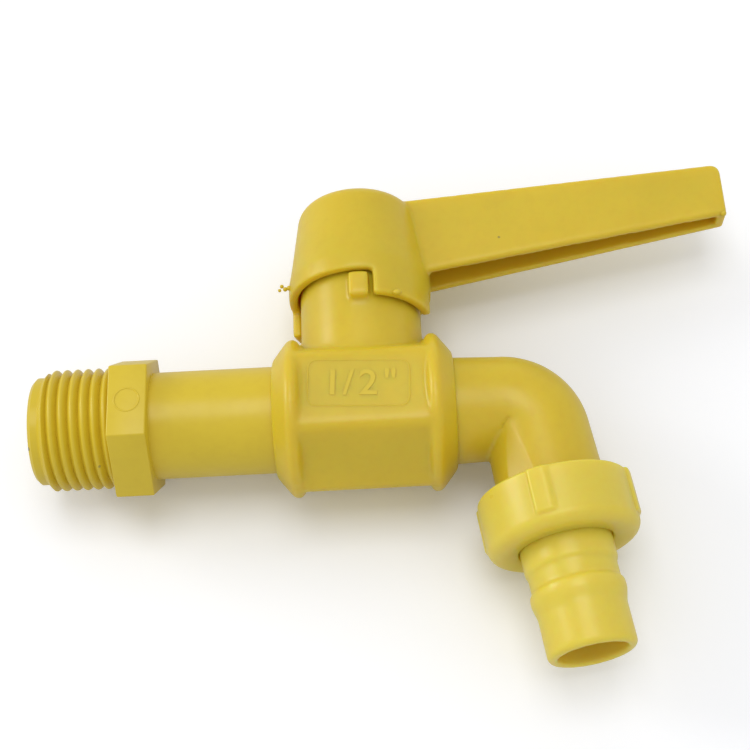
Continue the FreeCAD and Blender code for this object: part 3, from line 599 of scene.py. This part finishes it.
class FAUCET_OT_outlet_elbow(bpy.types.Operator):
    """Make the outlet moulding with its bend and the small flat beside it"""

    bl_idname = "faucet.outlet_elbow"
    bl_label = "Outlet elbow"

    rounding_passes = 5
    leg_radius = 9.05
    leg_top = -4.2
    leg_margin = 0.3
    leaf_middle = (67.0, -7.35, -9.2)
    leaf_normal = (-0.61, -0.785, -0.11)
    leaf_depth = 0.24
    leaf_reach = 0.6

    def cut_leaf(self, form):
        """The shallow flat on the leg's front, beside the bend."""
        to_leg = outlet_frame().inverted()
        normal = Vector(self.leaf_normal).normalized()
        middle = Vector(self.leaf_middle) * MM - normal * (self.leaf_depth * MM)
        for vertex in form.verts:
            height = (vertex.co - middle).dot(normal)
            across, along, up = to_leg @ vertex.co
            off_wall = abs(math.hypot(across, along) - self.leg_radius * MM)
            on_leg = off_wall < self.leg_margin * MM and up < self.leg_top * MM
            if on_leg and 0 < height < self.leaf_reach * MM:
                vertex.co -= normal * height

    def execute(self, context):
        grain = context.scene.faucet_shapes.grain
        form = round_off(copy_of_node("outlet_elbow"), grain, self.rounding_passes)
        self.cut_leaf(form)
        finish_form(form, "elbow_moulding", "tap_body", body_plastic(),
                    node="outlet_elbow")
        return {"FINISHED"}


class FAUCET_OT_handle(bpy.types.Operator):
    """Make the lever and its skirted hub, with the spare plastic left on their rims"""

    bl_idname = "faucet.handle"
    bl_label = "Handle"

    rounding_passes = 6
    skirt_flash = ((30.1, -2.6, 24.5), (29.4, -2.6, 24.3), (28.8, -2.6, 24.9), (28.4, -2.6, 24.1))
    flash_radius = 0.46
    flash_taper = 0.05
    skirt_nub = (49.2, -11.2, 17.75)
    skirt_nub_radius = 0.55
    skirt_nub_stretch = (1.4, 1, 1)
    tip_nub = (109.15, -2.1, 35.75)
    tip_nub_radius = 0.62

    def execute(self, context):
        grain = context.scene.faucet_shapes.grain
        handle = round_off(copy_of_node("handle"), grain, self.rounding_passes)
        finish_form(handle, "handle_moulding", "lever", body_plastic(),
                    node="handle")
        flash = new_form()
        for number, place in enumerate(self.skirt_flash):
            add_blob(flash, place, self.flash_radius - self.flash_taper * number)
        add_blob(flash, self.skirt_nub, self.skirt_nub_radius, self.skirt_nub_stretch)
        add_blob(flash, self.tip_nub, self.tip_nub_radius)
        finish_form(flash, "moulding_flash", "lever", thin_plastic())
        return {"FINISHED"}


class FAUCET_OT_union_nut(bpy.types.Operator):
    """Make the union nut, its four ribs steep on one side and gentle on the other"""

    bl_idname = "faucet.union_nut"
    bl_label = "Union nut"

    top = -15.9
    end = -26.0
    radius = 12.9
    bore = 10.628
    lip_bore = 8.0
    lip_top = -23.9
    bore_chamfer = 0.3
    end_rounding = 2.0
    top_rounding = 0.5
    wall_rows = 30
    arc_rows = 8
    steps = 360
    rib_count = 4
    rib_start = -115.1
    rib_rise = 1.7
    rib_crest = 10.0
    rib_fall = 6.5
    rib_height = 0.45
    rib_low = -23.8
    rib_end = 0.45
    sharp_corner = math.radians(60)

    def profile(self):
        """Radius and height of the nut's outline, from its top rim round to its bore."""
        points = [(self.bore + self.bore_chamfer, self.top)]
        for step in range(self.arc_rows + 1):
            angle = math.pi / 2 * (1 - step / self.arc_rows)
            points.append((self.radius - self.top_rounding * (1 - math.cos(angle)),
                           self.top - self.top_rounding * (1 - math.sin(angle))))
        wall_top = self.top - self.top_rounding
        wall_end = self.end + self.end_rounding
        for row in range(1, self.wall_rows):
            points.append((self.radius, wall_top + (wall_end - wall_top) * row / self.wall_rows))
        for step in range(self.arc_rows + 1):
            angle = math.pi / 2 * step / self.arc_rows
            points.append((self.radius - self.end_rounding * (1 - math.cos(angle)),
                           self.end + self.end_rounding * (1 - math.sin(angle))))
        points += [(self.lip_bore + self.bore_chamfer, self.end),
                   (self.lip_bore, self.end + self.bore_chamfer),
                   (self.lip_bore, self.lip_top), (self.bore, self.lip_top),
                   (self.bore, self.top - self.bore_chamfer)]
        return points

    def rib_rise_at(self, angle, height):
        """How far a rib lifts the wall at an angle in degrees and a height."""
        turn = (angle - self.rib_start) % (360 / self.rib_count)
        crest_end = self.rib_rise + self.rib_crest
        if turn < self.rib_rise:
            share = turn / self.rib_rise
        elif turn < crest_end:
            share = 1
        else:
            share = max(0, 1 - (turn - crest_end) / self.rib_fall)
        end_share = min(1, max(0, (height - self.rib_low) / self.rib_end))
        return self.rib_height * eased(share) * eased(end_share)

    def execute(self, context):
        form = new_form()
        lathe(form, [(radius, 0, height) for radius, height in self.profile()], (0, 0, 1),
              self.steps)
        for vertex in form.verts:
            radius = math.hypot(vertex.co.x, vertex.co.y)
            if radius > (self.radius - self.top_rounding) * MM:
                angle = math.degrees(math.atan2(vertex.co.y, vertex.co.x))
                growth = 1 + self.rib_rise_at(angle, vertex.co.z / MM) * MM / radius
                vertex.co.x *= growth
                vertex.co.y *= growth
        bmesh.ops.transform(form, matrix=outlet_frame(), verts=form.verts)
        finish_form(form, "nut_moulding", "nut", nut_plastic(),
                    node="union_nut", sharp_angle=self.sharp_corner)
        return {"FINISHED"}


class FAUCET_OT_hose_nozzle(bpy.types.Operator):
    """Make the hose nozzle with its rounded barb"""

    bl_idname = "faucet.hose_nozzle"
    bl_label = "Hose nozzle"

    rounding_passes = 2

    def execute(self, context):
        grain = context.scene.faucet_shapes.grain
        nozzle = round_off(copy_of_node("hose_nozzle"), grain, self.rounding_passes)
        finish_form(nozzle, "nozzle_moulding", "nozzle", nut_plastic(),
                    node="hose_nozzle")
        return {"FINISHED"}


class FAUCET_OT_inner_parts(bpy.types.Operator):
    """Give the ball, seats, stem, seals, washer and screw their finishes"""

    bl_idname = "faucet.inner_parts"
    bl_label = "Inner parts"

    def execute(self, context):
        finish = context.scene.faucet_finish
        white = inner_plastic("white_plastic", tuple(finish.white_colour))
        rubber = dark_rubber("black_rubber")
        steel = screw_steel("screw_steel")
        finishes = {
            "ball": white, "inlet_seat": white, "outlet_seat": white, "stem": white,
            "lower_o_ring": rubber, "upper_o_ring": rubber, "nozzle_washer": rubber,
            "handle_screw": steel,
        }
        for node, material in finishes.items():
            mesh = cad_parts[node].data
            mesh.materials.clear()
            mesh.materials.append(material)
        return {"FINISHED"}


class FAUCET_OT_stage(bpy.types.Operator):
    """Lay the table, and place the camera, the lamps and the world"""

    bl_idname = "faucet.stage"
    bl_label = "Stage"

    table_depth = 13.9
    table_half_side = 2.0
    table_bounce = 0.65
    camera_place = (46.53, -235.09, -108.43)
    camera_forward = (-0.0072, 0.8966, 0.4428)
    camera_roll = math.radians(-2.715)
    camera_lens = 72
    camera_sensor = 36
    camera_clip = (0.01, 20)
    lamp_aim = (48, 0, 5)
    main_lamp_size = 1.0
    main_lamp_place = (-0.15, 0.95, 1.5)
    side_lamp_size = 0.35
    side_lamp_place = (-0.89, 0.42, 0.2)
    seen_world_strength = 0.96

    def camera(self, scene):
        lens = bpy.data.cameras.new("camera")
        lens.lens = self.camera_lens
        lens.sensor_width = self.camera_sensor
        lens.clip_start, lens.clip_end = self.camera_clip
        camera = bpy.data.objects.new("camera", lens)
        scene.collection.objects.link(camera)
        camera.location = Vector(self.camera_place) * MM
        aim = Vector(self.camera_forward).to_track_quat("-Z", "Y")
        camera.rotation_mode = "QUATERNION"
        camera.rotation_quaternion = aim @ Quaternion((0, 0, 1), self.camera_roll)
        scene.camera = camera

    def table(self, scene, finish):
        """A white table behind the faucet, clear from its far side."""
        form = new_form()
        bmesh.ops.create_grid(form, x_segments=1, y_segments=1, size=self.table_half_side)
        bmesh.ops.rotate(form, verts=form.verts, cent=(0, 0, 0),
                         matrix=Matrix.Rotation(math.radians(90), 3, "X"))
        bmesh.ops.translate(form, verts=form.verts, vec=(0, self.table_depth * MM, 0))
        mesh = bpy.data.meshes.new("table")
        form.to_mesh(mesh)
        form.free()
        material, tree, shader, place = shader_parts("table_white")
        tree.nodes.remove(shader)
        shader = tree.nodes.new("ShaderNodeBsdfDiffuse")
        grain = spread_noise(tree, noise(tree, place, TABLE_SCALE), 0, 1)
        white = tuple(finish.table_colour)
        seen = blend_colours(tree, grain, shifted(white, 0.99), white)
        path = tree.nodes.new("ShaderNodeLightPath")
        tree.links.new(blend_colours(tree, path.outputs["Is Camera Ray"],
                                     shifted(white, self.table_bounce), seen),
                       shader.inputs["Color"])
        side = tree.nodes.new("ShaderNodeNewGeometry")
        clear = tree.nodes.new("ShaderNodeBsdfTransparent")
        choice = tree.nodes.new("ShaderNodeMixShader")
        tree.links.new(side.outputs["Backfacing"], choice.inputs["Fac"])
        tree.links.new(shader.outputs["BSDF"], choice.inputs[1])
        tree.links.new(clear.outputs["BSDF"], choice.inputs[2])
        tree.links.new(choice.outputs["Shader"], tree.nodes["Material Output"].inputs["Surface"])
        mesh.materials.append(material)
        table = bpy.data.objects.new("table", mesh)
        scene.collection.objects.link(table)

    def lamp(self, scene, name, power, size, offset):
        """A soft square lamp, placed by the camera's right, up and back directions."""
        light = bpy.data.lights.new(name, type="AREA")
        light.energy = power
        light.shape = "SQUARE"
        light.size = size
        lamp = bpy.data.objects.new(name, light)
        scene.collection.objects.link(lamp)
        turn = scene.camera.rotation_quaternion
        aim = Vector(self.lamp_aim) * MM
        lamp.location = aim + turn @ Vector(offset)
        lamp.rotation_mode = "QUATERNION"
        lamp.rotation_quaternion = (aim - lamp.location).to_track_quat("-Z", "Y")

    def world(self, scene, lights):
        world = bpy.data.worlds.new("studio")
        scene.world = world
        world.use_nodes = True
        tree = world.node_tree
        soft = tree.nodes["Background"]
        soft.inputs["Color"].default_value = (1, 1, 1, 1)
        soft.inputs["Strength"].default_value = lights.world_strength
        plain = tree.nodes.new("ShaderNodeBackground")
        plain.inputs["Color"].default_value = (1, 1, 1, 1)
        plain.inputs["Strength"].default_value = self.seen_world_strength
        path = tree.nodes.new("ShaderNodeLightPath")
        choice = tree.nodes.new("ShaderNodeMixShader")
        tree.links.new(path.outputs["Is Camera Ray"], choice.inputs["Fac"])
        tree.links.new(soft.outputs["Background"], choice.inputs[1])
        tree.links.new(plain.outputs["Background"], choice.inputs[2])
        tree.links.new(choice.outputs["Shader"], tree.nodes["World Output"].inputs["Surface"])

    def execute(self, context):
        scene = context.scene
        lights = scene.faucet_lights
        scene.view_settings.view_transform = "Standard"
        self.camera(scene)
        self.table(scene, scene.faucet_finish)
        self.lamp(scene, "main_lamp", lights.main_power, self.main_lamp_size,
                  self.main_lamp_place)
        self.lamp(scene, "side_lamp", lights.side_power, self.side_lamp_size,
                  self.side_lamp_place)
        self.world(scene, lights)
        return {"FINISHED"}


class FAUCET_PT_panel(bpy.types.Panel):
    """The faucet's pieces and settings"""

    bl_idname = "FAUCET_PT_panel"
    bl_label = "Lever Faucet"
    bl_space_type = "VIEW_3D"
    bl_region_type = "UI"
    bl_category = "Faucet"

    def draw(self, context):
        layout = self.layout
        for group in (context.scene.faucet_shapes, context.scene.faucet_finish,
                      context.scene.faucet_lights):
            for name in group.__annotations__:
                layout.prop(group, name)
        for operator in OPERATORS:
            layout.operator(operator.bl_idname)


SETTINGS = {
    "faucet_shapes": FaucetShapes,
    "faucet_finish": FaucetFinish,
    "faucet_lights": FaucetLights,
}

OPERATORS = (
    FAUCET_OT_inlet_moulding,
    FAUCET_OT_valve_shell,
    FAUCET_OT_outlet_elbow,
    FAUCET_OT_handle,
    FAUCET_OT_union_nut,
    FAUCET_OT_hose_nozzle,
    FAUCET_OT_inner_parts,
    FAUCET_OT_stage,
)


def register():
    for group in SETTINGS.values():
        bpy.utils.register_class(group)
    for name, group in SETTINGS.items():
        setattr(bpy.types.Scene, name, bpy.props.PointerProperty(type=group))
    for operator in OPERATORS:
        bpy.utils.register_class(operator)
    bpy.utils.register_class(FAUCET_PT_panel)


def unregister():
    bpy.utils.unregister_class(FAUCET_PT_panel)
    for operator in reversed(OPERATORS):
        bpy.utils.unregister_class(operator)
    for name, group in SETTINGS.items():
        delattr(bpy.types.Scene, name)
        bpy.utils.unregister_class(group)


def main():
    register()
    for name in ("inlet_moulding", "valve_shell", "outlet_elbow", "handle", "union_nut",
                 "hose_nozzle", "inner_parts", "stage"):
        getattr(bpy.ops.faucet, name)()


if __name__ == "__main__":
    main()
